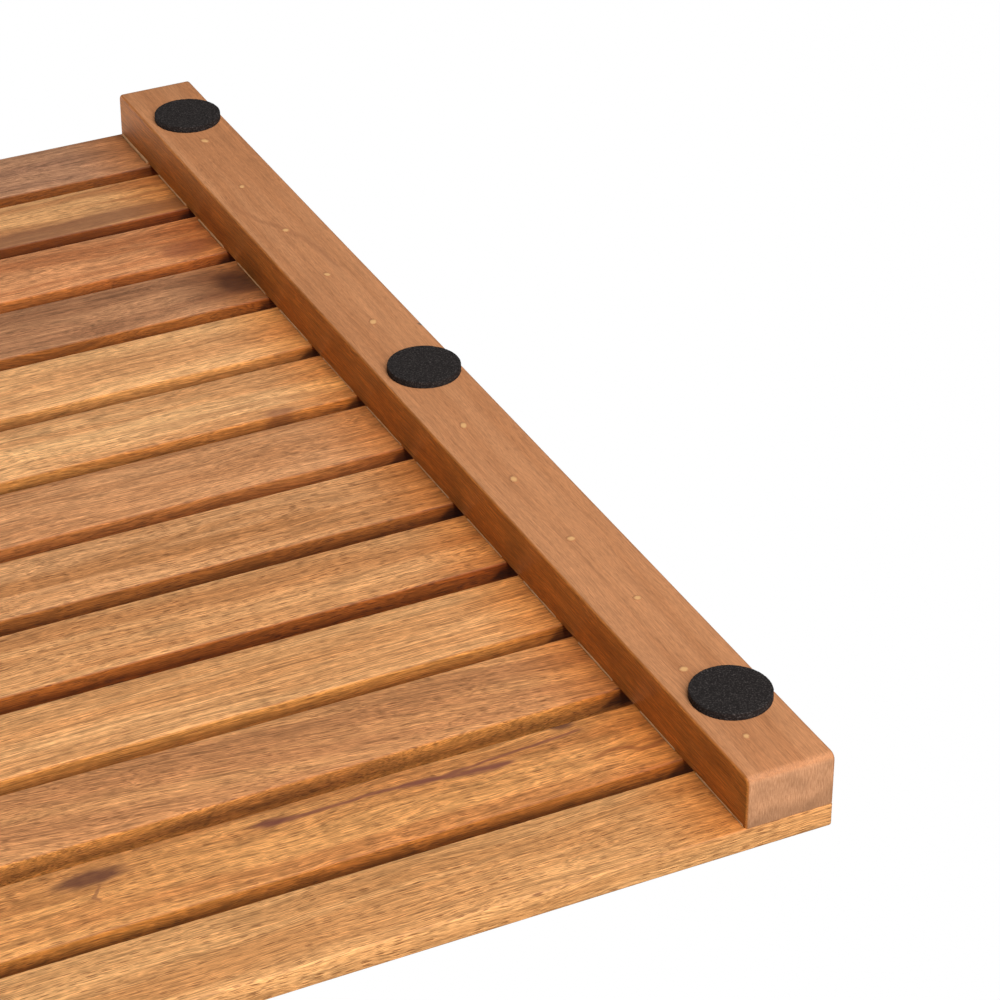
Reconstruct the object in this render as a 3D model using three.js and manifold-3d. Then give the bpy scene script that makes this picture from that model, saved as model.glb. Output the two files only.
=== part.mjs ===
// Slatted wooden bath mat, a duckboard: thirteen hardwood slats nailed from below to three rails that
// stand on round foam pads.
// Millimetres, +Z up. The origin is on the floor, under the middle of the mat. The slats run along X,
// the rails along Y, and -Y is the front.
import * as THREE from "three";
import { mergeVertices } from "three/addons/utils/BufferGeometryUtils.js";
import Module from "manifold-3d";

// Driving dimensions
const MAT_LENGTH = 700; // along the slats
const MAT_DEPTH = 500; // across the slats
const SLAT_COUNT = 13;
const SLAT_WIDTH = 31.8;
const SLAT_THICKNESS = 8.3;
const SLAT_ARRIS = 1; // rounding of a slat's long edges
const RAIL_WIDTH = 29;
const RAIL_HEIGHT = 17.5;
const RAIL_ARRIS = 1.2; // rounding of a rail's long edges towards the floor; those in the joint stay square
const RAIL_END_ARRIS = 2.6; // rounding of a rail's lower edge at each end
const PAD_DIAMETER = 25.4;
const PAD_THICKNESS = 2.5;
const PAD_CHAMFER = 0.4; // around the pad's lower edge
const PAD_OUTWARD_SHIFT = 1.3; // the pads of an end rail sit a little outside its centre line
const PAD_INSET_FRONT = 33; // centre of the front pad to the rail's front end
const PAD_INSET_BACK = 38.5;
const MIDDLE_PAD_SHIFT = -1.5; // the middle pad sits this far from the rail's middle
const NAIL_LENGTH = 22;
const NAIL_SHANK_DIAMETER = 1.7;
const NAIL_HEAD_DIAMETER = 2.6;
const NAIL_HEAD_THICKNESS = 0.7;
const NAIL_POINT_LENGTH = 2;
const NAIL_SET_DEPTH = 1.5; // the heads are punched below the rail's surface
const BORE_CLEARANCE = 0.3; // around the whole nail
const ARC_STEPS = 3; // flats on each rounded arris
const PAD_SIDES = 24;
const NAIL_SIDES = 8;

// Slats that were nailed off their even place, in mm towards the back
const SLAT_NUDGES = { 7: -0.5, 8: -0.5, 10: 0.7, 12: 1.3 };

// Where each slat's nail was driven by hand, from the front slat to the back one: how far inwards of
// the rail's centre line, and how far forwards of the slat's own
const NAIL_WANDER = [
  [0.5, -8.5],
  [0, 1],
  [2, -1.5],
  [1, -1.5],
  [1, 0],
  [0.5, 0.5],
  [1, 1],
  [2.5, 1],
  [2.5, 3],
  [2, 3],
  [-1, 2.5],
  [4.5, 3],
  [4.5, 3],
];

// Derived sizes
const SLAT_PITCH = (MAT_DEPTH - SLAT_WIDTH) / (SLAT_COUNT - 1);
const SLAT_UNDERSIDE = PAD_THICKNESS + RAIL_HEIGHT;
const NAIL_HEAD_FACE = PAD_THICKNESS + NAIL_SET_DEPTH;
const END_RAIL_X = (MAT_LENGTH - RAIL_WIDTH) / 2;

// Each rail's place along the slats, the way out of the mat from it, and the slats it is nailed to
const RAILS = [
  { side: "left", x: -END_RAIL_X, outward: -1, nailEvery: 1 },
  { side: "middle", x: 0, outward: 0, nailEvery: 2 },
  { side: "right", x: END_RAIL_X, outward: 1, nailEvery: 1 },
];
const PAD_ROWS = [
  { row: "front", y: -MAT_DEPTH / 2 + PAD_INSET_FRONT },
  { row: "centre", y: MIDDLE_PAD_SHIFT },
  { row: "back", y: MAT_DEPTH / 2 - PAD_INSET_BACK },
];

// Finishes
const oiledAcacia = (colour) =>
  new THREE.MeshStandardMaterial({ color: colour, roughness: 0.5, metalness: 0 });
const foam = () => new THREE.MeshStandardMaterial({ color: 0x2b2a2a, roughness: 0.9, metalness: 0 });
const nailSteel = () => new THREE.MeshStandardMaterial({ color: 0x9a9a98, roughness: 0.4, metalness: 1 });
const SLAT_COLOURS = [0x9c7350, 0xb98349, 0xb0713f, 0x8d6847, 0xc1935c, 0xc4955a, 0xb6855a];
const RAIL_COLOUR = 0xb87f54;

const wasm = await Module();
wasm.setup();

function toSolid(geometry) {
  const plain = geometry.clone();
  plain.deleteAttribute("normal");
  plain.deleteAttribute("uv");
  const merged = mergeVertices(plain);
  return new wasm.Manifold(
    new wasm.Mesh({
      numProp: 3,
      vertProperties: merged.attributes.position.array,
      triVerts: new Uint32Array(merged.index.array),
    }),
  );
}

function toGeometry(solid) {
  const mesh = solid.getMesh();
  const geometry = new THREE.BufferGeometry();
  geometry.setAttribute("position", new THREE.BufferAttribute(mesh.vertProperties, 3));
  geometry.setIndex(new THREE.BufferAttribute(mesh.triVerts, 1));
  geometry.computeVertexNormals();
  return geometry;
}

// The section of a bar, centred on the origin, with its lower and upper corners rounded
function easedSection(width, height, lower, upper) {
  const right = width / 2;
  const top = height / 2;
  const section = new THREE.Shape();
  section.moveTo(right - lower, -top);
  section.absarc(right - lower, lower - top, lower, -Math.PI / 2, 0);
  if (upper > 0) {
    section.absarc(right - upper, top - upper, upper, 0, Math.PI / 2);
    section.absarc(upper - right, top - upper, upper, Math.PI / 2, Math.PI);
  } else {
    section.lineTo(right, top);
    section.lineTo(-right, top);
  }
  section.absarc(lower - right, lower - top, lower, Math.PI, Math.PI * 1.5);
  return section;
}

// A bar along X with the given section, centred on the origin
function barAlongX(length, section) {
  const bar = new THREE.ExtrudeGeometry(section, {
    depth: length,
    bevelEnabled: false,
    curveSegments: ARC_STEPS,
  });
  bar.translate(0, 0, -length / 2);
  bar.rotateX(Math.PI / 2);
  bar.rotateZ(Math.PI / 2);
  return bar;
}

// A round solid about Z from its outline of [radius, height] points, listed upwards from the axis
function turned(outline, sides) {
  return new THREE.LatheGeometry(
    outline.map(([radius, height]) => new THREE.Vector2(radius, height)),
    sides,
  ).rotateX(Math.PI / 2);
}

// A nail with its head's flat face at height 0 and its point upwards, grown by a clearance all round
function nailGeometry(grow) {
  const head = NAIL_HEAD_DIAMETER / 2 + grow;
  const shank = NAIL_SHANK_DIAMETER / 2 + grow;
  return turned(
    [
      [0, 0],
      [head, 0],
      [head, NAIL_HEAD_THICKNESS + grow],
      [shank, NAIL_HEAD_THICKNESS + grow],
      [shank, NAIL_LENGTH - NAIL_POINT_LENGTH + grow],
      [0, NAIL_LENGTH + grow],
    ],
    NAIL_SIDES,
  );
}

// The bore that a nail leaves, open below the rail
function nailBore() {
  const opening = new THREE.CylinderGeometry(
    NAIL_HEAD_DIAMETER / 2 + BORE_CLEARANCE,
    NAIL_HEAD_DIAMETER / 2 + BORE_CLEARANCE,
    NAIL_SET_DEPTH * 2,
    NAIL_SIDES,
  );
  opening.rotateX(Math.PI / 2);
  return toSolid(nailGeometry(BORE_CLEARANCE)).add(toSolid(opening));
}

function slatY(number) {
  const even = (SLAT_WIDTH - MAT_DEPTH) / 2 + (number - 1) * SLAT_PITCH;
  return even + (SLAT_NUDGES[number] ?? 0);
}

// Every nail: its name and where its head's face lies
function nailPlaces() {
  const places = [];
  for (const { side, x, outward, nailEvery } of RAILS) {
    for (let number = 1; number <= SLAT_COUNT; number += nailEvery) {
      const [inwards, forwards] = NAIL_WANDER[number - 1];
      places.push({
        name: `nail_${side}_${String(number).padStart(2, "0")}`,
        side,
        number,
        x: x - outward * inwards,
        y: slatY(number) - forwards,
      });
    }
  }
  return places;
}

const bore = nailBore();
const nails = nailPlaces();

// Cuts the bores of some nails from a piece whose centre is at the given place
function drilled(bar, centre, itsNails) {
  let solid = bar;
  for (const { x, y } of itsNails) {
    solid = solid.subtract(bore.translate([x - centre.x, y - centre.y, NAIL_HEAD_FACE - centre.z]));
  }
  return toGeometry(solid);
}

function slat(number) {
  const centre = new THREE.Vector3(0, slatY(number), SLAT_UNDERSIDE + SLAT_THICKNESS / 2);
  const section = easedSection(SLAT_WIDTH, SLAT_THICKNESS, SLAT_ARRIS, SLAT_ARRIS);
  const bar = toSolid(barAlongX(MAT_LENGTH, section));
  const itsNails = nails.filter((nail) => nail.number === number);
  const colour = SLAT_COLOURS[(number - 1) % SLAT_COLOURS.length];
  const mesh = new THREE.Mesh(drilled(bar, centre, itsNails), oiledAcacia(colour));
  mesh.name = `slat_${String(number).padStart(2, "0")}`;
  mesh.position.copy(centre);
  return mesh;
}

function rail({ side, x }) {
  const centre = new THREE.Vector3(x, 0, PAD_THICKNESS + RAIL_HEIGHT / 2);
  const across = easedSection(RAIL_WIDTH, RAIL_HEIGHT, RAIL_ARRIS, 0);
  const lengthwise = easedSection(MAT_DEPTH, RAIL_HEIGHT, RAIL_END_ARRIS, 0);
  const long = toSolid(barAlongX(MAT_DEPTH, across).rotateZ(Math.PI / 2));
  const bar = long.intersect(toSolid(barAlongX(RAIL_WIDTH, lengthwise)));
  const itsNails = nails.filter((nail) => nail.side === side);
  const mesh = new THREE.Mesh(drilled(bar, centre, itsNails), oiledAcacia(RAIL_COLOUR));
  mesh.name = `rail_${side}`;
  mesh.position.copy(centre);
  return mesh;
}

function footPad({ side, x, outward }, { row, y }) {
  const radius = PAD_DIAMETER / 2;
  const disc = turned(
    [
      [0, 0],
      [radius - PAD_CHAMFER, 0],
      [radius, PAD_CHAMFER],
      [radius, PAD_THICKNESS],
      [0, PAD_THICKNESS],
    ],
    PAD_SIDES,
  );
  const mesh = new THREE.Mesh(disc, foam());
  mesh.name = `foot_pad_${side}_${row}`;
  mesh.position.set(x + outward * PAD_OUTWARD_SHIFT, y, 0);
  return mesh;
}

function nail({ name, x, y }) {
  const mesh = new THREE.Mesh(nailGeometry(0), nailSteel());
  mesh.name = name;
  mesh.position.set(x, y, NAIL_HEAD_FACE);
  return mesh;
}

const slats = new THREE.Group();
for (let number = 1; number <= SLAT_COUNT; number += 1) slats.add(slat(number));

const rails = new THREE.Group();
const footPads = new THREE.Group();
for (const place of RAILS) {
  rails.add(rail(place));
  for (const padRow of PAD_ROWS) footPads.add(footPad(place, padRow));
}

const fixings = new THREE.Group();
for (const place of nails) fixings.add(nail(place));

const bathMat = new THREE.Group();
bathMat.add(slats, rails, footPads, fixings);

export default bathMat;
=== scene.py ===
# Slatted wooden bath mat: the looks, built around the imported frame. Metres, +Z up, mat standing on its pads.
import math
import random

import bpy
from mathutils import Matrix, Vector


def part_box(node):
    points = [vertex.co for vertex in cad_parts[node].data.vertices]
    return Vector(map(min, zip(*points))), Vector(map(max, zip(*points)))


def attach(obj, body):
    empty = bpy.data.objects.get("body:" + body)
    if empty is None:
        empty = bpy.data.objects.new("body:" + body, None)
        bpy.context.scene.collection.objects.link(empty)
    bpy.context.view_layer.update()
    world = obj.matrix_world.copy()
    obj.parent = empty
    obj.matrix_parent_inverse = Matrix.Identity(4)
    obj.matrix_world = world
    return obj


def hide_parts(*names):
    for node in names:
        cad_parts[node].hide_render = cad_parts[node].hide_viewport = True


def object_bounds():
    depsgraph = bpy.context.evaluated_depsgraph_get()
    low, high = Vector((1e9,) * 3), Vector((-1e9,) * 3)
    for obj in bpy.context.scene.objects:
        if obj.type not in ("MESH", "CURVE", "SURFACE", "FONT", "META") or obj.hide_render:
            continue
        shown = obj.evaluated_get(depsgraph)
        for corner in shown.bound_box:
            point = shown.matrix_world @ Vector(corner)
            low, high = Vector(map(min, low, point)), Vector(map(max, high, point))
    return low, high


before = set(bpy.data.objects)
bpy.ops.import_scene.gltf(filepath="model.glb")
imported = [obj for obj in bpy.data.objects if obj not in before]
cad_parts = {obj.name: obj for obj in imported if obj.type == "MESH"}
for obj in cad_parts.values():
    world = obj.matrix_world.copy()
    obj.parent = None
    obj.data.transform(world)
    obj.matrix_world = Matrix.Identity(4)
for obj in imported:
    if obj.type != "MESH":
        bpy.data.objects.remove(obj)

MM = 0.001
CAD_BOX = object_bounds()
RAIL_SIDES = ("left", "middle", "right")
SLAT_COUNT = 13
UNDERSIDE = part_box("slat_01")[0].z  # of the slats, which is the rails' upper face
RAIL_FLOOR_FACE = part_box("rail_right")[0].z  # the rails' face towards the floor, where the pads stick

# Sizes in metres that the frame doesn't give
SLAT_ARRIS = 0.85 * MM
SLAT_END_ARRIS = 0.8 * MM
RAIL_ARRIS = 1.0 * MM
RAIL_END_ARRIS = 2.6 * MM  # of the rail's lower edge at each end
ARRIS_SEGMENTS = 4
PLANING_WAVE = 0.14 * MM  # depth of a planed face's slow unevenness
PLANING_WAVE_LENGTH = 70 * MM
CROSS_CUT_STEP = 20 * MM  # between the rows of points that let a planed face wave
SMOOTH_ANGLE = math.radians(32)
SAME_PLACE = 0.001 * MM  # closer than this is the same place


# ---------------------------------------------------------------- tools of the bench

def linear(hex_colour):
    """An sRGB hex colour as a linear RGBA."""
    channels = [int(hex_colour[i:i + 2], 16) / 255 for i in (1, 3, 5)]
    return [c / 12.92 if c <= 0.04045 else ((c + 0.055) / 1.055) ** 2.4 for c in channels] + [1.0]


def add_node(tree, kind, sockets=None, **settings):
    """Adds a node with its settings, and fills its sockets with values, other nodes' outputs, or other nodes,
    which stand for their first output."""
    node = tree.nodes.new(kind)
    for field, value in settings.items():
        setattr(node, field, value)
    for key, value in (sockets or {}).items():
        if isinstance(value, bpy.types.Node):
            value = value.outputs[0]
        if isinstance(value, bpy.types.NodeSocket):
            tree.links.new(value, node.inputs[key])
        else:
            node.inputs[key].default_value = value
    return node


def new_material(name):
    """A material with an empty node tree, its shader and its output."""
    material = bpy.data.materials.new(name)
    material.use_nodes = True
    tree = material.node_tree
    tree.nodes.clear()
    shader = add_node(tree, "ShaderNodeBsdfPrincipled")
    add_node(tree, "ShaderNodeOutputMaterial", {"Surface": shader.outputs[0]})
    return material, tree, shader


def start_piece():
    """Nothing is selected before a new primitive, because the frame's nodes come selected."""
    if bpy.context.mode != "OBJECT":
        bpy.ops.object.mode_set(mode="OBJECT")
    bpy.ops.object.select_all(action="DESELECT")


def select_edges(piece, wanted):
    """In edit mode, selects the edges whose two ends satisfy wanted."""
    bpy.ops.object.mode_set(mode="EDIT")
    bpy.ops.mesh.select_mode(type="EDGE")
    bpy.ops.mesh.select_all(action="DESELECT")
    bpy.ops.object.mode_set(mode="OBJECT")
    points = piece.data.vertices
    for edge in piece.data.edges:
        edge.select = wanted(points[edge.vertices[0]].co, points[edge.vertices[1]].co)
    bpy.ops.object.mode_set(mode="EDIT")


def select_faces(piece, wanted):
    """In edit mode, selects the faces that satisfy wanted, and nothing else."""
    bpy.ops.object.mode_set(mode="EDIT")
    bpy.ops.mesh.select_mode(type="FACE")
    bpy.ops.mesh.select_all(action="DESELECT")
    bpy.ops.object.mode_set(mode="OBJECT")
    for face in piece.data.polygons:
        face.select = wanted(face)
    bpy.ops.object.mode_set(mode="EDIT")


def apply_modifier(piece, kind, **settings):
    modifier = piece.modifiers.new(kind.lower(), kind)
    for field, value in settings.items():
        setattr(modifier, field, value)
    bpy.ops.object.modifier_apply(modifier=modifier.name)


def smooth_piece(piece, angle=SMOOTH_ANGLE):
    bpy.ops.object.mode_set(mode="OBJECT")
    bpy.ops.object.shade_smooth_by_angle(angle=angle)
    return piece


def mount_piece(piece, material, replaced=None):
    """Gives a finished piece its finish and its body, and hides the frame's node that it stands for, if any.
    """
    piece.data.materials.clear()
    piece.data.materials.append(material)
    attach(piece, "root")
    if replaced:
        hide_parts(replaced)
    return piece


# ---------------------------------------------------------------- oiled acacia

# All lengths in the wood are millimetres from the board's middle: X along the grain, Y across it, Z up
END_RAIL_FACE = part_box("rail_right")[0].x / MM
RAIL_SHADE_REACH = 30.0  # from an end rail, on the slats' undersides: how far the painted shade by the rail reaches
RAIL_SHADE_TINT = (0.87, 0.67, 0.42, 1)
GAP_CORNER_SHADE_REACH = 9.0  # from an end rail, in the gaps: how far the painted shade in their corners reaches
GAP_CORNER_SHADE_TINT = (0.34, 0.3, 0.3, 1)
KNOT_THROUGH = 1000.0  # the height of a knot that runs right through its board
LOG_STEP = (213.0, 71.0, 37.0)  # from one board's wood to the next one's, so that no two match
FRAY_BY_WANDER = (4, 4, 4)  # how far the two waves in the fibres pull a mark's edge
FRAY_BY_RIPPLE = (7, 1.8, 1.8)
PORE_SPACING = (4.8, 0.45, 0.45)
PORE_COLOUR = "#6B3A18"
GRAIN_LAYERS = {  # how long each noise's blotches are on the three axes, then its detail and roughness
    "figure": ((150, 8, 8), 2.0, 0.5),
    "lines": ((220, 1.3, 3.0), 2.0, 0.5),
    "fibres": ((12, 0.3, 0.3), 2.0, 0.6),
    "ticks": ((2.6, 0.26, 0.26), 1.0, 0.5),
    "courses": ((34, 0.8, 0.8), 1.0, 0.5),
    "patches": ((20, 8, 8), 1.0, 0.5),
    "mottle": ((5, 3, 3), 1.0, 0.5),
}


def stretched_noise(tree, vector, lengths, detail, roughness=0.5):
    """Noise whose blotches have the given lengths on the three axes."""
    stretched = add_node(tree, "ShaderNodeVectorMath", {0: vector, 1: [1 / length for length in lengths]},
                         operation="MULTIPLY")
    return add_node(tree, "ShaderNodeTexNoise", {"Vector": stretched, "Scale": 1.0, "Detail": detail,
                                                 "Roughness": roughness})


def shade(tree, colour, noise, depth, soft=0.2):
    """Darkens a colour by half the depth where a noise is low, and lightens it as much where it is high.
    soft is how far from its middle value the noise has the full effect."""
    swing = add_node(tree, "ShaderNodeMapRange", {"Value": noise, "From Min": 0.5 - soft,
                                                  "From Max": 0.5 + soft, "To Min": 1 - depth / 2,
                                                  "To Max": 1 + depth / 2})
    return add_node(tree, "ShaderNodeVectorMath", {0: colour, 1: swing}, operation="MULTIPLY")


def tinted(tree, colour, mask, factor):
    """Multiplies a colour by a factor where the mask is one."""
    part = add_node(tree, "ShaderNodeMix", {0: mask, 6: (1, 1, 1, 1), 7: factor}, data_type="RGBA")
    return add_node(tree, "ShaderNodeVectorMath", {0: colour, 1: part.outputs[2]}, operation="MULTIPLY")


def board_axes(tree, low, high, along):
    """Millimetres from the board's middle, with X along the grain."""
    where = add_node(tree, "ShaderNodeTexCoord")
    shifted = add_node(tree, "ShaderNodeVectorMath", {0: where.outputs["Object"], 1: (low + high) / 2},
                       operation="SUBTRACT")
    turn = 0.0 if along == "x" else -math.pi / 2
    return add_node(tree, "ShaderNodeMapping", {"Vector": shifted, "Rotation": (0, 0, turn),
                                                "Scale": (1 / MM, 1 / MM, 1 / MM)})


def board_parts(tree, along, look):
    """Masks of the board's narrow sides, its faces, the sides that get painted shade, its arrises and its
    ends.
    """
    normal = add_node(tree, "ShaderNodeSeparateXYZ", {
        0: add_node(tree, "ShaderNodeNewGeometry").outputs["Normal"]})
    lengthwise, across = normal.outputs[:2] if along == "x" else (normal.outputs[1], normal.outputs[0])
    sideways = add_node(tree, "ShaderNodeMath", {0: across}, operation="ABSOLUTE")
    side = add_node(tree, "ShaderNodeMapRange", {"Value": sideways, "From Min": 0.35, "From Max": 0.95})
    face = add_node(tree, "ShaderNodeMath", {0: 1.0, 1: side}, operation="SUBTRACT")
    heart = side
    if look["heart_side"]:
        signed = add_node(tree, "ShaderNodeMath", {0: across, 1: look["heart_side"]}, operation="MULTIPLY")
        heart = add_node(tree, "ShaderNodeMapRange", {"Value": signed, "From Min": 0.35, "From Max": 0.95})
    onto = add_node(tree, "ShaderNodeMapRange", {"Value": sideways, "From Min": 0.3, "From Max": 0.5},
                    interpolation_type="SMOOTHSTEP")
    past = add_node(tree, "ShaderNodeMapRange", {"Value": sideways, "From Min": 0.92, "From Max": 0.8},
                    interpolation_type="SMOOTHSTEP")
    arris = add_node(tree, "ShaderNodeMath", {0: onto, 1: past}, operation="MULTIPLY")
    facing = add_node(tree, "ShaderNodeMath", {0: lengthwise}, operation="ABSOLUTE")
    end = add_node(tree, "ShaderNodeMapRange", {"Value": facing, "From Min": 0.8, "From Max": 0.98,
                                                "To Max": 0.9})
    return {"side": side, "face": face, "heart": heart, "arris": arris, "end": end}


def wood_grain(tree, place, look, seed):
    """One board's own wood: where its fibres run, and the noises drawn along them. The fibres wander slowly,
    and ripple where they interlock."""
    lean = look["lean"]
    own = add_node(tree, "ShaderNodeMapping", {
        "Vector": place, "Location": [seed * step for step in LOG_STEP], "Rotation": (0, lean * 0.3, lean)})
    wander = stretched_noise(tree, own, (55, 16, 16), 1.0)
    ripple = stretched_noise(tree, own, (11, 4.5, 4.5), 1.0)
    wander_off = add_node(tree, "ShaderNodeVectorMath", {0: wander.outputs[1], 1: (0.5, 0.5, 0.5)},
                          operation="SUBTRACT")
    ripple_off = add_node(tree, "ShaderNodeVectorMath", {0: ripple.outputs[1], 1: (0.5, 0.5, 0.5)},
                          operation="SUBTRACT")
    slow = look["wander"]
    quick = look["ripple"]
    bent = add_node(tree, "ShaderNodeVectorMath", {0: wander_off, 1: (0, slow, slow), 2: own},
                    operation="MULTIPLY_ADD")
    bent = add_node(tree, "ShaderNodeVectorMath", {0: ripple_off, 1: (0, quick, quick), 2: bent},
                    operation="MULTIPLY_ADD")
    # Marks on the board have edges that fray along the same fibres
    frayed = add_node(tree, "ShaderNodeVectorMath", {0: wander_off, 1: FRAY_BY_WANDER, 2: place},
                      operation="MULTIPLY_ADD")
    frayed = add_node(tree, "ShaderNodeVectorMath", {0: ripple_off, 1: FRAY_BY_RIPPLE, 2: frayed},
                      operation="MULTIPLY_ADD")
    grain = {"own": own, "wander": wander, "bent": bent, "frayed": frayed}
    for layer, (lengths, detail, roughness) in GRAIN_LAYERS.items():
        grain[layer] = stretched_noise(tree, bent, lengths, detail, roughness)
    return grain


def open_pores(tree, grain):
    """Short pores cut open along the grain: one cell in three has one, more of them in some patches."""
    stretched = add_node(tree, "ShaderNodeVectorMath", {
        0: grain["bent"], 1: [1 / spacing for spacing in PORE_SPACING]}, operation="MULTIPLY")
    cells = add_node(tree, "ShaderNodeTexVoronoi", {"Vector": stretched, "Scale": 1.0, "Randomness": 1.0},
                     feature="F1")
    pore = add_node(tree, "ShaderNodeMapRange", {"Value": cells.outputs["Distance"], "From Min": 0.44,
                                                 "From Max": 0.26}, interpolation_type="SMOOTHSTEP")
    chance = add_node(tree, "ShaderNodeSeparateXYZ", {0: cells.outputs["Color"]})
    crowd = add_node(tree, "ShaderNodeMath", {0: grain["patches"], 1: 1.2, 2: chance},
                     operation="MULTIPLY_ADD")
    crowd = add_node(tree, "ShaderNodeMapRange", {"Value": crowd, "From Min": 1.15, "From Max": 1.35})
    return add_node(tree, "ShaderNodeMath", {0: pore, 1: crowd}, operation="MULTIPLY")


def face_colour(tree, grain, pores, look):
    """Slow light and dark figure, fine fibres over it, thin dark vessels and short pores."""
    tone = add_node(tree, "ShaderNodeMapRange", {"Value": grain["figure"], "From Min": 0.34,
                                                 "From Max": 0.66}, interpolation_type="SMOOTHSTEP")
    colour = add_node(tree, "ShaderNodeMix", {0: tone, 6: linear(look["dark"]), 7: linear(look["light"])},
                      data_type="RGBA").outputs[2]
    for layer, soft in (("lines", 0.16), ("fibres", 0.13), ("ticks", 0.14), ("patches", 0.2),
                        ("mottle", 0.2)):
        colour = shade(tree, colour, grain[layer], look[layer], soft)
    # Long vessels show as thin dark lines, where one slow noise crosses its middle value
    cross = add_node(tree, "ShaderNodeMath", {0: grain["courses"], 1: 0.5}, operation="SUBTRACT")
    cross = add_node(tree, "ShaderNodeMath", {0: cross}, operation="ABSOLUTE")
    hairs = add_node(tree, "ShaderNodeMapRange", {"Value": cross, "From Min": 0.0, "From Max": 0.07,
                                                  "To Min": 1 - look["hairs"], "To Max": 1.0})
    colour = add_node(tree, "ShaderNodeVectorMath", {0: colour, 1: hairs}, operation="MULTIPLY")
    flecks = add_node(tree, "ShaderNodeMath", {0: pores, 1: look["flecks"]}, operation="MULTIPLY")
    return add_node(tree, "ShaderNodeMix", {0: flecks, 6: colour, 7: linear(PORE_COLOUR)},
                    data_type="RGBA").outputs[2]


def add_streak(tree, colour, grain, parts, streak):
    """A streak of heartwood that sways along the board and fades out at both ends."""
    spot = add_node(tree, "ShaderNodeSeparateXYZ", {0: grain["frayed"]})
    run = add_node(tree, "ShaderNodeMath", {0: spot.outputs[0], 1: streak["start"]}, operation="SUBTRACT")
    swing = add_node(tree, "ShaderNodeMath", {0: run, 1: 2 * math.pi / streak["period"]},
                     operation="MULTIPLY")
    swing = add_node(tree, "ShaderNodeMath", {0: swing}, operation="SINE")
    swing = add_node(tree, "ShaderNodeMath", {0: swing, 1: streak["sway"], 2: streak["across"]},
                     operation="MULTIPLY_ADD")
    line = add_node(tree, "ShaderNodeMath", {0: run, 1: streak["slope"], 2: swing}, operation="MULTIPLY_ADD")
    off = add_node(tree, "ShaderNodeMath", {0: spot.outputs[1], 1: line}, operation="SUBTRACT")
    off = add_node(tree, "ShaderNodeMath", {0: off}, operation="ABSOLUTE")
    width = streak["half_width"]
    mask = add_node(tree, "ShaderNodeMapRange", {"Value": off, "From Min": width,
                                                 "From Max": width * streak["core"]},
                    interpolation_type="SMOOTHSTEP")
    begin = add_node(tree, "ShaderNodeMapRange", {"Value": run, "From Min": 0.0,
                                                  "From Max": streak["fade"]},
                     interpolation_type="SMOOTHSTEP")
    end = add_node(tree, "ShaderNodeMapRange", {"Value": run, "From Min": streak["length"],
                                                "From Max": streak["length"] - streak["fade"]},
                   interpolation_type="SMOOTHSTEP")
    for limit in (begin, end, streak["depth"], parts["face"] if streak.get("on_face") else 1.0):
        mask = add_node(tree, "ShaderNodeMath", {0: mask, 1: limit}, operation="MULTIPLY")
    return add_node(tree, "ShaderNodeMix", {0: mask, 6: colour, 7: linear(streak["colour"])},
                    data_type="RGBA").outputs[2]


def add_knot(tree, colour, grain, knot):
    """A dark oval spot with a frayed rim."""
    middle = (*knot["at"], knot.get("up", 0))
    off = add_node(tree, "ShaderNodeVectorMath", {0: grain["frayed"], 1: middle}, operation="SUBTRACT")
    reach = (*knot["reach"], knot.get("height", KNOT_THROUGH))
    off = add_node(tree, "ShaderNodeVectorMath", {0: off, 1: [1 / r for r in reach]}, operation="MULTIPLY")
    far = add_node(tree, "ShaderNodeVectorMath", {0: off}, operation="LENGTH")
    mask = add_node(tree, "ShaderNodeMapRange", {"Value": far.outputs["Value"], "From Min": 1.0,
                                                 "From Max": 0.35, "To Max": knot["depth"]},
                    interpolation_type="SMOOTHSTEP")
    return add_node(tree, "ShaderNodeMix", {0: mask, 6: colour, 7: linear(knot["colour"])},
                    data_type="RGBA").outputs[2]


def side_colour(tree, colour, grain, parts, look):
    """Painted shade on the narrow sides, which lie in the gaps or turn away from the light, warmed by the
    light that the wood beside them throws back; on some boards on one side only. Painted shade also tones down
    the arrises."""
    # Painted shade, with warm bounced light, on the narrow sides
    colour = tinted(tree, colour, parts["heart"], (*look["side"], 1))
    if look["side_fibres"]:
        # That side was sawn and hardly sanded, so its fibres stand out
        rough = shade(tree, colour, grain["fibres"], look["side_fibres"], 0.13)
        rough = shade(tree, rough, grain["patches"], look["side_fibres"] / 2)
        colour = add_node(tree, "ShaderNodeMix", {0: parts["heart"], 6: colour, 7: rough},
                          data_type="RGBA").outputs[2]
    # Painted shade on the rounded arrises
    return tinted(tree, colour, parts["arris"], look["arris"])


def near_end_rail(tree, place, reach, over):
    """One beside an end rail and zero beyond the reach, on a slat. It fades out again over the rail."""
    run = add_node(tree, "ShaderNodeSeparateXYZ", {0: place})
    out = add_node(tree, "ShaderNodeMath", {0: run.outputs[0]}, operation="ABSOLUTE")
    near = add_node(tree, "ShaderNodeMapRange", {"Value": out, "From Min": END_RAIL_FACE - reach,
                                                 "From Max": END_RAIL_FACE},
                    interpolation_type="SMOOTHSTEP")
    bare = add_node(tree, "ShaderNodeMapRange", {"Value": out, "From Min": END_RAIL_FACE + 2 * over,
                                                 "From Max": END_RAIL_FACE + over})
    return add_node(tree, "ShaderNodeMath", {0: near, 1: bare}, operation="MULTIPLY")


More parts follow.
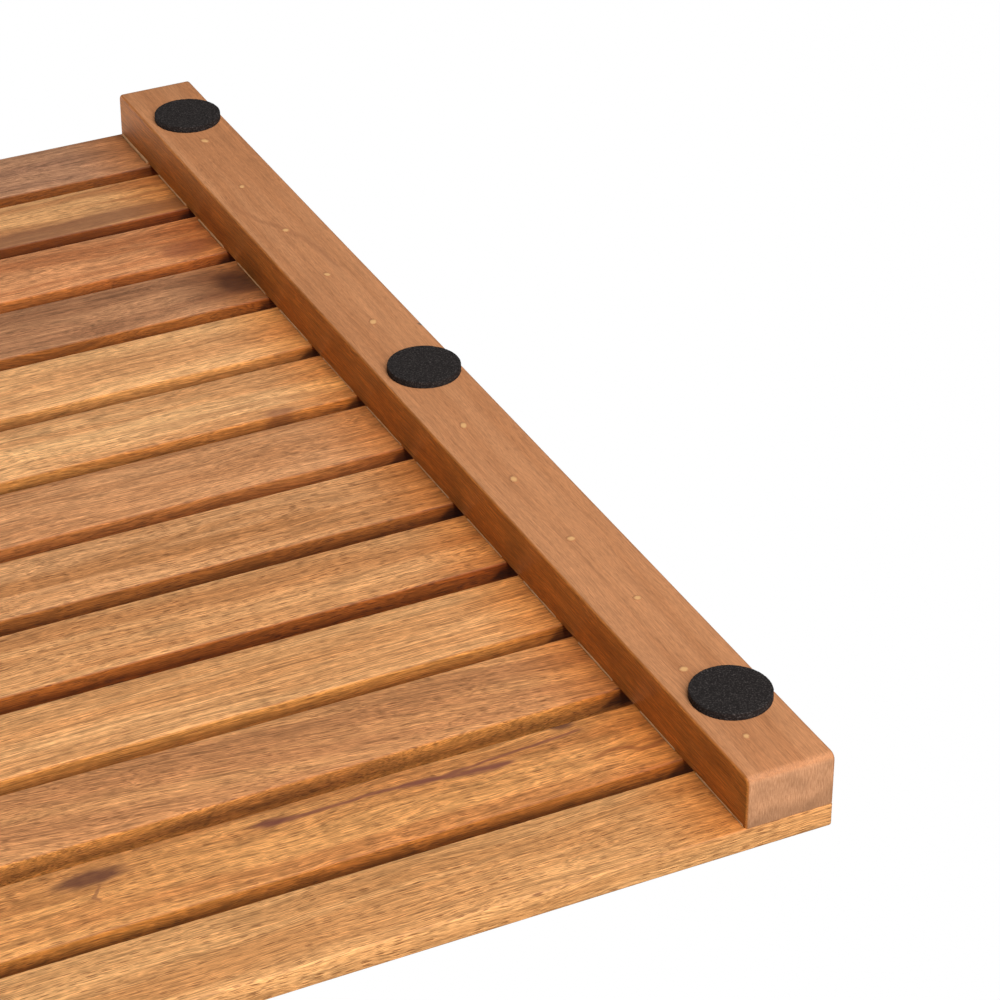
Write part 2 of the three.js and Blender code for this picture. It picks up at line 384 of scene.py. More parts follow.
def paint_gap_shade(tree, colour, place, parts, look):
    """Painted shade in the depths of the gaps, darkest in the corners by the end rails, where the rails shade
    them.
    """
    height = add_node(tree, "ShaderNodeSeparateXYZ", {0: place}).outputs[2]
    begin = add_node(tree, "ShaderNodeMapRange", {"Value": height, "From Min": -3.0, "From Max": 1.5},
                     interpolation_type="SMOOTHSTEP")
    end = add_node(tree, "ShaderNodeMapRange", {"Value": height, "From Min": 3.4, "From Max": 1.1})
    deep = add_node(tree, "ShaderNodeMath", {0: begin, 1: end}, operation="MULTIPLY")
    deep = add_node(tree, "ShaderNodeMath", {0: deep, 1: parts["side"]}, operation="MULTIPLY")
    # Painted shade, deeper down the gap walls
    depth_shade = look["gap_depth"]
    colour = tinted(tree, colour, deep, (depth_shade, 0.91 * depth_shade, 0.91 * depth_shade, 1))
    rise = add_node(tree, "ShaderNodeMapRange", {"Value": height, "From Min": -4.0, "From Max": 2.5})
    # Painted shade in the gaps' corners beside the end rails
    corner_shade = add_node(tree, "ShaderNodeMath", {0: near_end_rail(tree, place, GAP_CORNER_SHADE_REACH, 3.0), 1: rise},
                     operation="ADD")
    corner_shade = add_node(tree, "ShaderNodeMapRange", {"Value": corner_shade, "From Min": 0.95, "From Max": 1.45},
                     interpolation_type="SMOOTHSTEP")
    corner_shade = add_node(tree, "ShaderNodeMath", {0: corner_shade, 1: end}, operation="MULTIPLY")
    corner_shade = add_node(tree, "ShaderNodeMath", {0: corner_shade, 1: parts["side"]}, operation="MULTIPLY")
    return tinted(tree, colour, corner_shade, GAP_CORNER_SHADE_TINT)


def paint_rail_shade(tree, colour, place, parts, look):
    """Painted shade on the slats' undersides along the end rails: darker where the rail shades them, and
    warmer from the light that the rail throws back.
    """
    height = add_node(tree, "ShaderNodeSeparateXYZ", {0: place}).outputs[2]
    under = add_node(tree, "ShaderNodeMapRange", {"Value": height, "From Min": 2.0, "From Max": -2.0})
    # Painted shade and warm bounced light on the undersides, near the end rails
    rail_shade = add_node(tree, "ShaderNodeMath", {0: near_end_rail(tree, place, RAIL_SHADE_REACH, 1.0), 1: under},
                      operation="MULTIPLY")
    if look["oil_on_face"]:
        rail_shade = add_node(tree, "ShaderNodeMath", {0: rail_shade, 1: parts["face"]}, operation="MULTIPLY")
    return tinted(tree, colour, rail_shade, RAIL_SHADE_TINT)


def end_grain(tree, colour, place, grain, parts, look):
    """End grain soaks up more oil and looks greyer and darker, with saw marks and a growth ring."""
    saw = stretched_noise(tree, grain["own"], (2, 0.34, 2.4), 2.0)
    saw = add_node(tree, "ShaderNodeMapRange", {"Value": saw, "From Min": 0.25, "From Max": 0.75})
    cut = add_node(tree, "ShaderNodeMix", {0: saw, 6: linear(look["end_dark"]), 7: linear(look["end_light"])},
                   data_type="RGBA").outputs[2]
    cut = shade(tree, cut, grain["patches"], 0.3)
    height = add_node(tree, "ShaderNodeSeparateXYZ", {0: place}).outputs[2]
    ring = add_node(tree, "ShaderNodeMath", {0: grain["wander"], 1: 14.0, 2: height},
                    operation="MULTIPLY_ADD")
    ring = add_node(tree, "ShaderNodeMapRange", {"Value": ring, "From Min": 7.5, "From Max": 13.0,
                                                 "To Min": 1.04, "To Max": 0.76},
                    interpolation_type="SMOOTHSTEP")
    cut = add_node(tree, "ShaderNodeVectorMath", {0: cut, 1: ring}, operation="MULTIPLY")
    return add_node(tree, "ShaderNodeMix", {0: parts["end"], 6: colour, 7: cut}, data_type="RGBA").outputs[2]


def oiled_acacia(name, low, high, along, look, seed):
    """Oiled acacia, planed and sanded: interlocked grain under a satin oil. The eye gets a warm board with
    slow light and dark figure, straight fine fibres, and short dark pore flecks that lie along the grain."""
    material, tree, shader = new_material(name)
    place = board_axes(tree, low, high, along)
    parts = board_parts(tree, along, look)
    grain = wood_grain(tree, place, look, seed)
    pores = open_pores(tree, grain)
    colour = face_colour(tree, grain, pores, look)
    for streak in look["streaks"]:
        colour = add_streak(tree, colour, grain, parts, streak)
    for knot in look["knots"]:
        colour = add_knot(tree, colour, grain, knot)
    colour = side_colour(tree, colour, grain, parts, look)
    if look["gap_depth"]:
        colour = paint_gap_shade(tree, colour, place, parts, look)
    if along == "x":
        colour = paint_rail_shade(tree, colour, place, parts, look)
    colour = end_grain(tree, colour, place, grain, parts, look)
    tree.links.new(colour, shader.inputs["Base Color"])

    # Satin oil: pores are matt and a little sunk, the fibres just show in the sheen
    sheen = add_node(tree, "ShaderNodeMapRange", {"Value": grain["fibres"], "From Min": 0.2,
                                                  "From Max": 0.8, "To Min": 0.5, "To Max": 0.66})
    tree.links.new(sheen.outputs[0], shader.inputs["Roughness"])
    relief = add_node(tree, "ShaderNodeMath", {0: pores, 1: -1.4, 2: grain["fibres"]},
                      operation="MULTIPLY_ADD")
    bump = add_node(tree, "ShaderNodeBump", {"Strength": 0.55, "Distance": 0.06 * MM, "Height": relief})
    tree.links.new(bump.outputs[0], shader.inputs["Normal"])
    shader.inputs["IOR"].default_value = 1.47
    shader.inputs["Specular IOR Level"].default_value = 0.35
    return material


# ---------------------------------------------------------------- other finishes

def black_foam():
    """Die-cut EVA foam: matt near-black with fine open pores that catch light as grey specks."""
    material, tree, shader = new_material("black_eva_foam")
    where = add_node(tree, "ShaderNodeTexCoord")
    # Pores 0.8 mm apart, with a finer fuzz over them
    pores = add_node(tree, "ShaderNodeTexVoronoi", {"Vector": where.outputs["Object"],
                                                    "Scale": 1 / (0.8 * MM)})
    fuzz = add_node(tree, "ShaderNodeTexNoise", {"Vector": where.outputs["Object"], "Scale": 1 / (0.55 * MM),
                                                 "Detail": 3.0, "Roughness": 0.7})
    speck = add_node(tree, "ShaderNodeMapRange", {"Value": fuzz, "From Min": 0.5, "From Max": 0.72})
    colour = add_node(tree, "ShaderNodeMix", {0: speck, 6: linear("#181312"),
                                              7: linear("#4C4644")}, data_type="RGBA")
    tree.links.new(colour.outputs[2], shader.inputs["Base Color"])
    height = add_node(tree, "ShaderNodeMath", {0: pores.outputs["Distance"], 1: fuzz}, operation="ADD")
    bump = add_node(tree, "ShaderNodeBump", {"Strength": 0.9, "Distance": 0.25 * MM, "Height": height})
    tree.links.new(bump.outputs[0], shader.inputs["Normal"])
    shader.inputs["Roughness"].default_value = 0.85
    shader.inputs["Specular IOR Level"].default_value = 0.25
    return material


def wood_filler():
    """Solvent wood filler, sanded flush: a pale tan spot that smears out into the wood's colour."""
    material, tree, shader = new_material("pale_wood_filler")
    where = add_node(tree, "ShaderNodeTexCoord")
    grit = add_node(tree, "ShaderNodeTexNoise", {"Vector": where.outputs["Object"], "Scale": 1 / (0.6 * MM),
                                                 "Detail": 2.0})
    surface = add_node(tree, "ShaderNodeNewGeometry")
    # The smoothed normal leans outwards from the plug's middle to its rim
    tilt = add_node(tree, "ShaderNodeSeparateXYZ", {0: surface.outputs["Normal"]})
    inner = add_node(tree, "ShaderNodeMath", {0: tilt.outputs[2], 1: -1.0}, operation="MULTIPLY")
    inner = add_node(tree, "ShaderNodeMath", {0: grit, 1: 0.25, 2: inner}, operation="MULTIPLY_ADD")
    inner = add_node(tree, "ShaderNodeMapRange", {"Value": inner, "From Min": 0.86,
                                                  "From Max": 1.08}, interpolation_type="SMOOTHSTEP")
    colour = add_node(tree, "ShaderNodeMix", {0: inner, 6: linear("#B97C50"),
                                              7: linear("#D8A56C")}, data_type="RGBA")
    tree.links.new(colour.outputs[2], shader.inputs["Base Color"])
    tree.links.new(surface.outputs["True Normal"], shader.inputs["Normal"])
    shader.inputs["Roughness"].default_value = 0.6
    return material


def dried_glue():
    """Dried white wood glue, tinted by sanding dust: a pale, waxy, slightly clear bead."""
    material, tree, shader = new_material("dried_wood_glue")
    where = add_node(tree, "ShaderNodeTexCoord")
    dust = add_node(tree, "ShaderNodeTexNoise", {"Vector": where.outputs["Object"], "Scale": 1 / (2.5 * MM),
                                                 "Detail": 3.0})
    colour = add_node(tree, "ShaderNodeMix", {0: dust, 6: linear("#B07A4A"),
                                              7: linear("#D9AE80")}, data_type="RGBA")
    tree.links.new(colour.outputs[2], shader.inputs["Base Color"])
    bump = add_node(tree, "ShaderNodeBump", {"Strength": 0.5, "Distance": 0.1 * MM, "Height": dust})
    tree.links.new(bump.outputs[0], shader.inputs["Normal"])
    shader.inputs["Roughness"].default_value = 0.4
    return material


def bright_wire():
    """Drawn steel wire nail: bright metal with fine lengthwise die marks."""
    material, tree, shader = new_material("bright_steel_wire")
    where = add_node(tree, "ShaderNodeTexCoord")
    marks = add_node(tree, "ShaderNodeTexNoise", {"Vector": add_node(tree, "ShaderNodeVectorMath", {
        0: where.outputs["Object"], 1: (1 / (0.2 * MM), 1 / (0.2 * MM), 1 / (6 * MM))},
        operation="MULTIPLY"), "Scale": 1.0, "Detail": 2.0})
    colour = add_node(tree, "ShaderNodeMix", {0: marks, 6: linear("#8F8E8B"),
                                              7: linear("#C4C3C0")}, data_type="RGBA")
    tree.links.new(colour.outputs[2], shader.inputs["Base Color"])
    dullness = add_node(tree, "ShaderNodeMapRange", {"Value": marks, "To Min": 0.25, "To Max": 0.45})
    tree.links.new(dullness.outputs[0], shader.inputs["Roughness"])
    shader.inputs["Metallic"].default_value = 1.0
    return material


# ---------------------------------------------------------------- pieces

def board_blank(name, low, high):
    """A square-edged board that fills the box from low to high."""
    start_piece()
    bpy.ops.mesh.primitive_cube_add(size=1, location=(low + high) / 2)
    board = bpy.context.object
    board.name = name
    board.scale = high - low
    bpy.ops.object.transform_apply(location=True, rotation=True, scale=True)
    return board


def ease_edges(board, arris, wanted):
    """Rounds the edges whose two ends satisfy wanted."""
    select_edges(board, wanted)
    bpy.ops.mesh.bevel(offset=arris, segments=ARRIS_SEGMENTS, profile=0.5, affect="EDGES", clamp_overlap=True)


def plane_faces(board, low, high, axis):
    """Cuts the board across at even steps, and lets its faces dip a touch between its two ends."""
    bpy.ops.object.mode_set(mode="EDIT")
    cuts = int((high[axis] - low[axis]) / CROSS_CUT_STEP)
    direction = Vector((1, 0, 0)) if axis == 0 else Vector((0, 1, 0))
    for cut in range(1, cuts):
        bpy.ops.mesh.select_all(action="SELECT")
        middle = (low + high) / 2
        middle[axis] = low[axis] + (high[axis] - low[axis]) * cut / cuts
        bpy.ops.mesh.bisect(plane_co=middle, plane_no=direction)
    bpy.ops.object.mode_set(mode="OBJECT")
    between = [v.index for v in board.data.vertices
               if low[axis] + CROSS_CUT_STEP / 2 < v.co[axis] < high[axis] - CROSS_CUT_STEP / 2]
    board.vertex_groups.new(name="between_ends").add(between, 1.0, "REPLACE")
    apply_modifier(board, "DISPLACE", texture=UNEVENNESS, texture_coords="LOCAL", mid_level=1.0,
                   strength=PLANING_WAVE, vertex_group="between_ends")
    return smooth_piece(board)


def planed_slat(name, low, high):
    """A slat with every edge eased."""
    slat = board_blank(name, low, high)
    ease_edges(slat, SLAT_ARRIS, lambda a, b: abs(a.x - b.x) > (high.x - low.x) / 2)
    ease_edges(slat, SLAT_END_ARRIS,
               lambda a, b: any(abs(a.x - end) < SAME_PLACE and abs(b.x - end) < SAME_PLACE
                                for end in (low.x, high.x)))
    return plane_faces(slat, low, high, 0)


def planed_rail(name, low, high):
    """A rail with square edges in the joint, and rounded ones elsewhere, most of all below each end."""
    rail = board_blank(name, low, high)
    ease_edges(rail, RAIL_END_ARRIS,
               lambda a, b: max(a.z, b.z) < low.z + SAME_PLACE and abs(a.x - b.x) > (high.x - low.x) / 2)
    ease_edges(rail, RAIL_ARRIS,
               lambda a, b: min(a.z, b.z) < high.z - SAME_PLACE
               and any(abs(a.x - side) < SAME_PLACE and abs(b.x - side) < SAME_PLACE
                       for side in (low.x, high.x)))
    return plane_faces(rail, low, high, 1)


UNEVENNESS = bpy.data.textures.new("planing_unevenness", "CLOUDS")
UNEVENNESS.noise_scale = PLANING_WAVE_LENGTH


def look_of(light, dark, **more):
    """A board's look: its two face colours, and what differs from the usual board.
    lean is the slope of its grain, and wander and ripple say how far its fibres stray, in millimetres.
    lines, fibres, ticks, patches, mottle, hairs and flecks say how strongly each of the grain's marks shows.
    streaks and knots lie in millimetres from the board's middle, along and across the grain.
    side is painted shade on the narrow sides, warm where the wood beside them throws light back. With
    heart_side 1 that is only a slat's back side or a rail's right one, with -1 only the opposite one.
    side_fibres says how rough that side looks. arris is painted shade on the rounded edges. gap_depth is
    the painted shade in the depth of a gap, and None leaves it unshaded.
    oil_on_face keeps that painted shade off the sides. end_light and end_dark are the end grain's colours."""
    usual = {"lean": 0.0, "wander": 6.0, "ripple": 0.6, "lines": 0.22, "fibres": 0.42, "ticks": 0.3,
             "patches": 0.12, "mottle": 0.16, "hairs": 0.4, "flecks": 0.6, "streaks": (), "knots": (),
             "heart_side": 0, "side_fibres": 0, "arris": (0.84, 0.76, 0.66, 1), "gap_depth": 0.55,
             "oil_on_face": False, "end_light": "#B98D66", "end_dark": "#86593A"}
    return {"light": light, "dark": dark, **usual, **more}


# A slat's side tint is painted shade on its walls in the gaps, and its arris tint painted shade on its rounded
# edges
SLAT_LOOKS = [
    look_of("#B68461", "#996D51", flecks=0.3, wander=8, gap_depth=None, side=(0.56, 0.34, 0.12),
            heart_side=1),
    look_of("#D59D66", "#B37849", flecks=0.35, side=(0.52, 0.28, 0.09), streaks=[
        dict(start=200, length=180, across=11, slope=0, sway=1.2, period=160, half_width=8, core=0.3,
             fade=30, depth=0.8, colour="#7C5036"),
        dict(start=285, length=60, across=-3, slope=0.03, sway=0.8, period=60, half_width=1.6, core=0.2,
             fade=15, depth=0.6, colour="#8A5834")]),
    look_of("#CD8C5B", "#B06D41", flecks=0.3, wander=9, side=(0.81, 0.6, 0.31), gap_depth=0.66, knots=[
        dict(at=(308, 7), reach=(14, 9), depth=0.6, colour="#7C4630")]),
    look_of("#B68159", "#966544", flecks=0.3, wander=9, side=(0.8, 0.56, 0.22), gap_depth=0.7, knots=[
        dict(at=(311, 0), reach=(24, 17), depth=0.5, colour="#5E3A28"),
        dict(at=(315, -1), reach=(11, 11), depth=0.8, colour="#3E2216")]),
    look_of("#E1A86F", "#CB8F5B", flecks=0.35, side=(0.83, 0.72, 0.49), gap_depth=0.53),
    look_of("#E9B278", "#CE925D", flecks=0.5, side=(0.86, 0.68, 0.38), gap_depth=0.44, streaks=[
        dict(start=225, length=110, across=3, slope=0.06, sway=1.5, period=90, half_width=3.5, core=0.2,
             fade=35, depth=0.45, colour="#915C38")], knots=[
        dict(at=(292, 14.5), reach=(9, 4), depth=0.6, colour="#7A4A33")]),
    look_of("#CE9362", "#B97E50", flecks=0.35, ripple=0.3, lines=0.16, side=(0.82, 0.64, 0.39),
            gap_depth=0.76),
    look_of("#D29864", "#B67B49", flecks=0.7, ripple=1.1, side=(0.61, 0.43, 0.21), gap_depth=0.58),
    look_of("#D79C64", "#BF824E", flecks=0.7, ripple=1.0, side=(0.52, 0.31, 0.12), gap_depth=0.5),
    look_of("#DBA168", "#CB8E57", flecks=0.45, ripple=0.3, wander=3, lines=0.34, side=(0.99, 0.85, 0.51)),
    look_of("#D3955E", "#BA7E4F", flecks=0.6, ripple=0.6, lean=math.radians(-7), lines=0.28, wander=5,
            side=(0.97, 0.85, 0.5), gap_depth=0.6),
    look_of("#DB9A5A", "#BF7C44", flecks=0.65, ripple=1.0, mottle=0.3, side=(0.82, 0.73, 0.45),
            gap_depth=0.36, streaks=[
        dict(start=194, length=84, across=-9.6, slope=0.046, sway=0.5, period=60, half_width=1.3, core=0.2,
             fade=6, depth=0.8, colour="#7A4636"),
        dict(start=238, length=66, across=-6.6, slope=-0.068, sway=0.5, period=50, half_width=0.9, core=0.2,
             fade=9, depth=0.8, colour="#7A4636"),
        dict(start=292, length=60, across=2, slope=0.16, sway=1.3, period=17, half_width=1.6, core=0.2,
             fade=8, depth=0.6, colour="#8A4F2C")], knots=[
        dict(at=(199, -9.5), reach=(7, 2.3), depth=0.8, colour="#6E3D30"),
        dict(at=(246, -7), reach=(9, 2.2), depth=0.7, colour="#7A4636"),
        dict(at=(267, -5.8), reach=(12, 2.6), depth=0.7, colour="#7A4636"),
        dict(at=(297, -15), reach=(7, 3.5), depth=0.85, colour="#532F26"),
        dict(at=(144, -8.5), reach=(16, 5), depth=0.85, colour="#5C3428"),
        dict(at=(144, 0), reach=(1.1, 6), depth=0.6, colour="#7A4A33")]),
    look_of("#E0A569", "#C78A52", flecks=0.7, ripple=0.7, gap_depth=None, side=(0.96, 0.97, 0.98),
            arris=(0.95, 0.9, 0.84, 1), oil_on_face=True),
]
# A rail's side tint is painted shade with warm bounced light on its narrow sides
RAIL_LOOK = look_of("#BE8358", "#B2774D", flecks=0.15, ripple=0.3, wander=4, lines=0.12, fibres=0.13,
                    ticks=0.17, hairs=0.15, patches=0.05, mottle=0.05, side=(1.05, 0.94, 0.66),
                    gap_depth=None, end_light="#C08E69", end_dark="#946747")
RAIL_LOOKS = {
    "left": {**RAIL_LOOK, "heart_side": 1},
    "middle": RAIL_LOOK,
    "right": {**RAIL_LOOK, "heart_side": -1, "side": (1.2, 1.0, 0.42), "side_fibres": 0.36, "streaks": [
        dict(start=-152, length=76, across=12, slope=-0.26, sway=1.5, period=60, half_width=2.2, core=0.0,
             fade=14, depth=0.34, colour="#8A5637", on_face=True)], "knots": [
        dict(at=(-31.7, -14), up=-8.6, height=1.5, reach=(1.6, 1.4), depth=0.8, colour="#4E4A46")]}}


def make_boards():
    """The slats and the rails, each with wood of its own."""
    for number in range(1, SLAT_COUNT + 1):
        node = f"slat_{number:02d}"
        low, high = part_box(node)
        slat = planed_slat(f"acacia_{node}", low, high)
        finish = oiled_acacia(f"oiled_acacia_{node}", low, high, "x", SLAT_LOOKS[number - 1], number)
        mount_piece(slat, finish, node)
    for place, side in enumerate(RAIL_SIDES):
        node = f"rail_{side}"
        low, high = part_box(node)
        rail = planed_rail(f"acacia_{node}", low, high)
        seed = SLAT_COUNT + 1 + place
        finish = oiled_acacia(f"oiled_acacia_{node}", low, high, "y", RAIL_LOOKS[side], seed)
        mount_piece(rail, finish, node)


PAD_RINGS = 24
PAD_RINGS_REACH = 0.94  # of the radius, from the rim inwards
PAD_SIDES = 128
PAD_EDGE = 0.35 * MM  # rounding of a pad's lower edge
PAD_PITTING = 0.2 * MM
FOAM_PITS = bpy.data.textures.new("foam_pits", "CLOUDS")
FOAM_PITS.noise_scale = 0.9 * MM
FOAM_PITS.noise_depth = 2


def make_pads():
    """Foam discs: a cylinder whose lower face is inset ring by ring, then pitted all over."""
    foam = black_foam()
    for side in RAIL_SIDES:
        for row in ("front", "centre", "back"):
            node = f"foot_pad_{side}_{row}"
            low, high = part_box(node)
            radius = (high.x - low.x) / 2
            start_piece()
            bpy.ops.mesh.primitive_cylinder_add(vertices=PAD_SIDES, radius=radius, depth=high.z - low.z,
                                                location=(low + high) / 2)
            pad = bpy.context.object
            pad.name = f"foam_{node}"
            bpy.ops.object.transform_apply(location=True, rotation=True, scale=True)
            rim = low.z
            select_edges(pad, lambda a, b: abs(a.z - rim) < SAME_PLACE and abs(b.z - rim) < SAME_PLACE)
            bpy.ops.mesh.bevel(offset=PAD_EDGE, segments=3, affect="EDGES")
            select_faces(pad, lambda face: face.normal.z < -0.9 and len(face.vertices) > 4)
            for _ in range(PAD_RINGS):
                bpy.ops.mesh.inset(thickness=radius * PAD_RINGS_REACH / PAD_RINGS)
            bpy.ops.mesh.poke()
            bpy.ops.object.mode_set(mode="OBJECT")
            apply_modifier(pad, "DISPLACE", texture=FOAM_PITS, texture_coords="LOCAL", mid_level=1.0,
                           strength=PAD_PITTING)
            smooth_piece(pad, math.radians(60))
            mount_piece(pad, foam, node)


PLUG_RADII = (1.45 * MM, 1.9 * MM)  # across the rail and along it
PLUG_THICKNESS = 0.8 * MM
PLUG_PROUD = 0.03 * MM
PLUG_SIDES = 20


def make_plugs():
    """A plug of filler over each nail: an oval disc, sanded flush, whose rim is one fan of faces."""
    filler = wood_filler()
    chance = random.Random(4)
    for node in sorted(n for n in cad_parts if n.startswith("nail_")):
        low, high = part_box(node)
        height = RAIL_FLOOR_FACE + PLUG_THICKNESS / 2 - PLUG_PROUD
        start_piece()
        bpy.ops.mesh.primitive_cylinder_add(
            vertices=PLUG_SIDES, radius=1, depth=1,
            location=((low.x + high.x) / 2, (low.y + high.y) / 2, height))
        plug = bpy.context.object
        plug.name = node.replace("nail", "filler_plug")
        plug.scale = (PLUG_RADII[0] * chance.uniform(0.75, 1.2), PLUG_RADII[1] * chance.uniform(0.7, 1.25),
                      PLUG_THICKNESS)
        plug.rotation_euler.z = chance.uniform(-0.5, 0.5)
        bpy.ops.object.transform_apply(location=True, rotation=True, scale=True)
        select_faces(plug, lambda face: face.normal.z < -0.9)
        bpy.ops.mesh.poke()
        smooth_piece(plug, math.pi)
        mount_piece(plug, filler)


GLUE_RADIUS = 0.3 * MM
GLUE_SINK = 0.1  # of its radius: how far a bead's centre lies off the rail and below the slat
GLUE_SIDES = 8
GLUE_STEPS = 12  # along a bead
GLUE_RUNS = {1: 2.4, 2: 1.8, 3: 1.4}  # the slats where more of it was squeezed out
GLUE_RIPPLE = bpy.data.textures.new("glue_ripple", "CLOUDS")
GLUE_RIPPLE.noise_scale = 4 * MM


def make_glue_beads():
    """Glue squeezed out of each joint, dried as a thin uneven bead in the corner of rail and slat."""
    glue = dried_glue()
    chance = random.Random(9)
    for side in RAIL_SIDES:
        rail_low, rail_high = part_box(f"rail_{side}")
        edges = {"left": [(rail_high.x, 1)], "right": [(rail_low.x, -1)],
                 "middle": [(rail_low.x, -1), (rail_high.x, 1)]}[side]
        for x, outward in edges:
            for number in range(1, SLAT_COUNT + 1):
                low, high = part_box(f"slat_{number:02d}")
                length = (high.y - low.y - 2 * SLAT_ARRIS) * chance.uniform(0.72, 0.98)
                radius = GLUE_RADIUS * GLUE_RUNS.get(number, 1.0) * chance.uniform(0.7, 1.25)
                start_piece()
                bpy.ops.mesh.primitive_cylinder_add(
                    vertices=GLUE_SIDES, radius=radius, depth=length, rotation=(math.pi / 2, 0, 0),
                    location=(x + outward * radius * GLUE_SINK, (low.y + high.y) / 2,
                              UNDERSIDE - radius * GLUE_SINK))
                bead = bpy.context.object
                face = "a" if outward < 0 else "b"
                bead.name = f"glue_bead_{side}_{face}_{number:02d}"
                bpy.ops.object.transform_apply(location=True, rotation=True, scale=True)
                bpy.ops.object.mode_set(mode="EDIT")
                for cut in range(1, GLUE_STEPS):
                    across = low.y + SLAT_ARRIS + length * cut / GLUE_STEPS
                    bpy.ops.mesh.select_all(action="SELECT")
                    bpy.ops.mesh.bisect(plane_co=(x, across, UNDERSIDE), plane_no=(0, 1, 0))
                bpy.ops.object.mode_set(mode="OBJECT")
                apply_modifier(bead, "DISPLACE", texture=GLUE_RIPPLE, texture_coords="LOCAL", mid_level=0.6,
                               strength=radius * 1.1)
                smooth_piece(bead, math.radians(80))
                mount_piece(bead, glue)


def finish_nails():
    """The nails keep their own shape and get a better steel."""
    wire = bright_wire()
    for node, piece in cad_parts.items():
        if node.startswith("nail_"):
            piece.data.materials.clear()
            piece.data.materials.append(wire)


# ---------------------------------------------------------------- studio

FLOOR_SIZE = 60
FLOOR_SHADE_REACH = 28 * MM  # how far the painted shadow under the mat fades out beside it
BACKDROP_BEGINS, BACKDROP_FULL = 0.5, 2.2  # beside the mat, where the floor fades into the backdrop


def make_floor():
    """A plain pale floor that runs on into a white backdrop. It shows only from above, and lets the light
    from below pass to the mat's underside. Under the mat it carries a painted shadow, dark where that light
    would else make it glow."""
    start_piece()
    bpy.ops.mesh.primitive_plane_add(size=FLOOR_SIZE, location=(0, 0, 0))
    floor = bpy.context.object
    floor.name = "studio_floor"
    material, tree, shader = new_material("pale_floor")
    where = add_node(tree, "ShaderNodeTexCoord")
    beside = add_node(tree, "ShaderNodeVectorMath", {0: where.outputs["Object"]}, operation="ABSOLUTE")
    mat_corner = (CAD_BOX[1].x, CAD_BOX[1].y, 0)
    beside = add_node(tree, "ShaderNodeVectorMath", {0: beside, 1: mat_corner}, operation="SUBTRACT")
    beside = add_node(tree, "ShaderNodeVectorMath", {0: beside, 1: (0, 0, 0)}, operation="MAXIMUM")
    beside = add_node(tree, "ShaderNodeVectorMath", {0: beside}, operation="LENGTH")
    lit = add_node(tree, "ShaderNodeMapRange", {"Value": beside.outputs["Value"], "From Min": 0.0,
                                                "From Max": FLOOR_SHADE_REACH},
                   interpolation_type="SMOOTHSTEP")
    # Painted shadow under the mat, fading into the pale floor beside it
    colour = add_node(tree, "ShaderNodeMix", {0: lit, 6: linear("#55534F"),
                                              7: linear("#E9E8E5")}, data_type="RGBA")
    tree.links.new(colour.outputs[2], shader.inputs["Base Color"])
    shader.inputs["Roughness"].default_value = 0.9
    backdrop = add_node(tree, "ShaderNodeEmission", {"Color": (1, 1, 1, 1), "Strength": 1.0})
    away = add_node(tree, "ShaderNodeMapRange", {"Value": beside.outputs["Value"],
                                                 "From Min": BACKDROP_BEGINS, "From Max": BACKDROP_FULL},
                    interpolation_type="SMOOTHSTEP")
    above = add_node(tree, "ShaderNodeMixShader", {0: away, 1: shader, 2: backdrop})
    clear = add_node(tree, "ShaderNodeBsdfTransparent")
    behind = add_node(tree, "ShaderNodeNewGeometry").outputs["Backfacing"]
    either = add_node(tree, "ShaderNodeMixShader", {0: behind, 1: above, 2: clear})
    output = next(n for n in tree.nodes if n.type == "OUTPUT_MATERIAL")
    tree.links.new(either.outputs[0], output.inputs["Surface"])
    floor.data.materials.append(material)
    floor.visible_shadow = False
    floor.visible_diffuse = False
    floor.visible_glossy = False


LIGHT_AIM = Vector((0.2, 0, 0))


def add_softbox(name, direction, distance, width, height, power, shine=True):
    """A soft light that faces the mat's right half; its height is measured up the arc over the mat."""
    data = bpy.data.lights.new(name, "AREA")
    data.shape = "RECTANGLE"
    data.size = width
    data.size_y = height
    data.energy = power
    light = bpy.data.objects.new(name, data)
    bpy.context.scene.collection.objects.link(light)
    back = Vector(direction).normalized()
    light.location = LIGHT_AIM + back * distance
    light.rotation_euler = back.to_track_quat("Z", "Y").to_euler()
    light.visible_glossy = shine


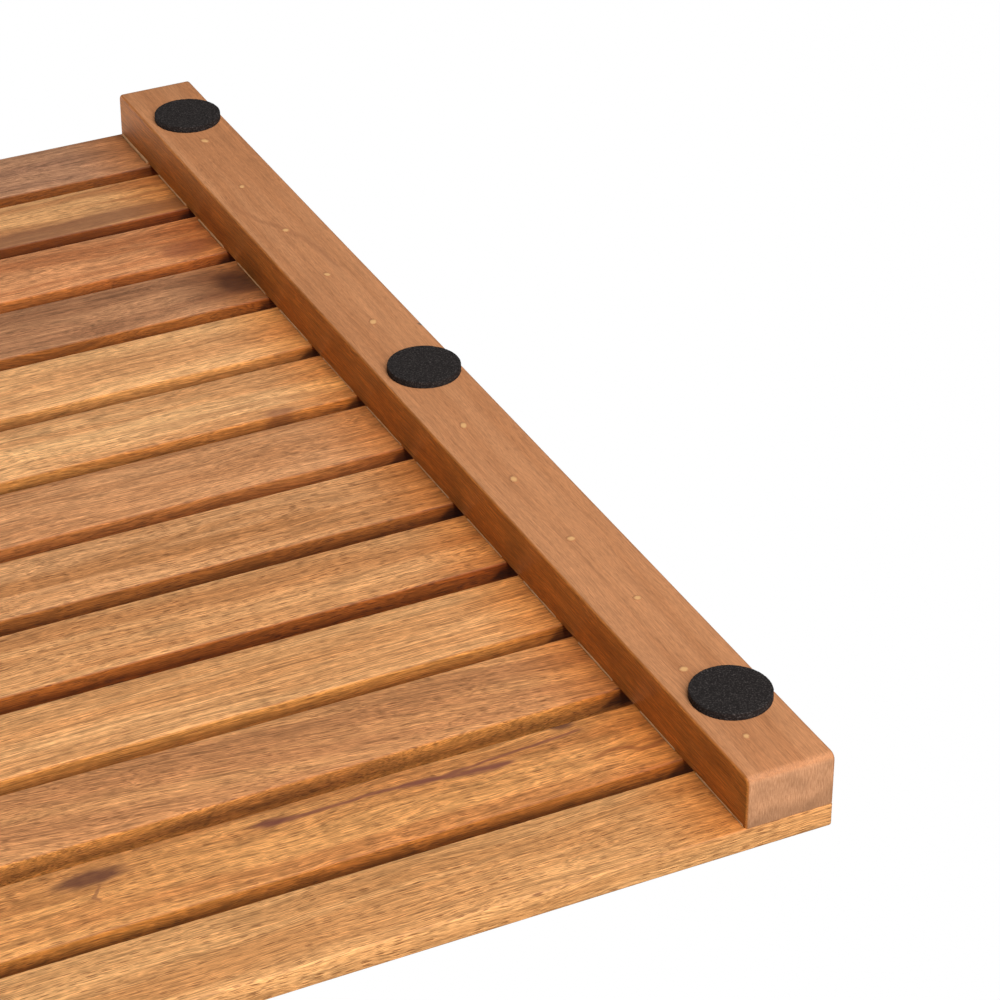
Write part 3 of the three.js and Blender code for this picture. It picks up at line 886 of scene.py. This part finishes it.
def make_lights():
    """A white world that is seen but hardly lights, and four softboxes."""
    world = bpy.data.worlds.new("studio_white")
    bpy.context.scene.world = world
    world.use_nodes = True
    tree = world.node_tree
    tree.nodes.clear()
    seen = add_node(tree, "ShaderNodeBackground", {"Color": (1, 1, 1, 1), "Strength": 1.0})
    fill = add_node(tree, "ShaderNodeBackground", {"Color": (1, 1, 1, 1), "Strength": 0.1})
    path = add_node(tree, "ShaderNodeLightPath")
    both = add_node(tree, "ShaderNodeMixShader", {0: path.outputs["Is Camera Ray"], 1: fill, 2: seen})
    add_node(tree, "ShaderNodeOutputWorld", {"Surface": both})
    # Below the floor, for the underside: a long light whose arc runs along the rails, and a low one that
    # grazes the faces and shines on the back
    add_softbox("underside_key", (0.08, 0.55, -0.8), 6.0, 3.0, 8.0, 570)
    add_softbox("back_light", (0.1, 1.0, -0.06), 5.0, 1.6, 1.6, 140, shine=False)
    # Above the floor, for the walking face: all from the front, too low to fall through the gaps
    add_softbox("top_key", (0.45, -0.75, 0.6), 5.0, 3.2, 3.2, 330, shine=False)
    add_softbox("top_fill", (-0.75, -0.6, 0.35), 5.0, 3.2, 3.2, 150)
    settings = bpy.context.scene.view_settings
    settings.view_transform = "Standard"
    settings.look = "None"


CAMERA_AZIMUTH = math.radians(26.1)
CAMERA_RISE = math.radians(32.18)
CAMERA_DISTANCE = 1.1685
CAMERA_TARGET = Vector((CAD_BOX[1].x - 14.35 * MM, 59.5 * MM, UNDERSIDE))
CAMERA_LENS = 127.7  # mm, on a sensor 36 mm wide


def make_camera():
    """Looks up at the underside of the mat's right end, with the top of the frame towards the floor."""
    level = math.cos(CAMERA_RISE)
    forward = Vector((level * math.sin(CAMERA_AZIMUTH), -level * math.cos(CAMERA_AZIMUTH),
                      math.sin(CAMERA_RISE)))
    right = forward.cross(Vector((0, 0, -1))).normalized()
    up = right.cross(forward)
    data = bpy.data.cameras.new("camera")
    data.lens = CAMERA_LENS
    data.sensor_width = 36
    camera = bpy.data.objects.new("camera", data)
    bpy.context.scene.collection.objects.link(camera)
    turn = Matrix((right, up, -forward)).transposed().to_4x4()
    camera.matrix_world = Matrix.Translation(CAMERA_TARGET - forward * CAMERA_DISTANCE) @ turn
    bpy.context.scene.camera = camera


make_camera()
make_boards()
make_pads()
make_plugs()
make_glue_beads()
finish_nails()
make_floor()
make_lights()
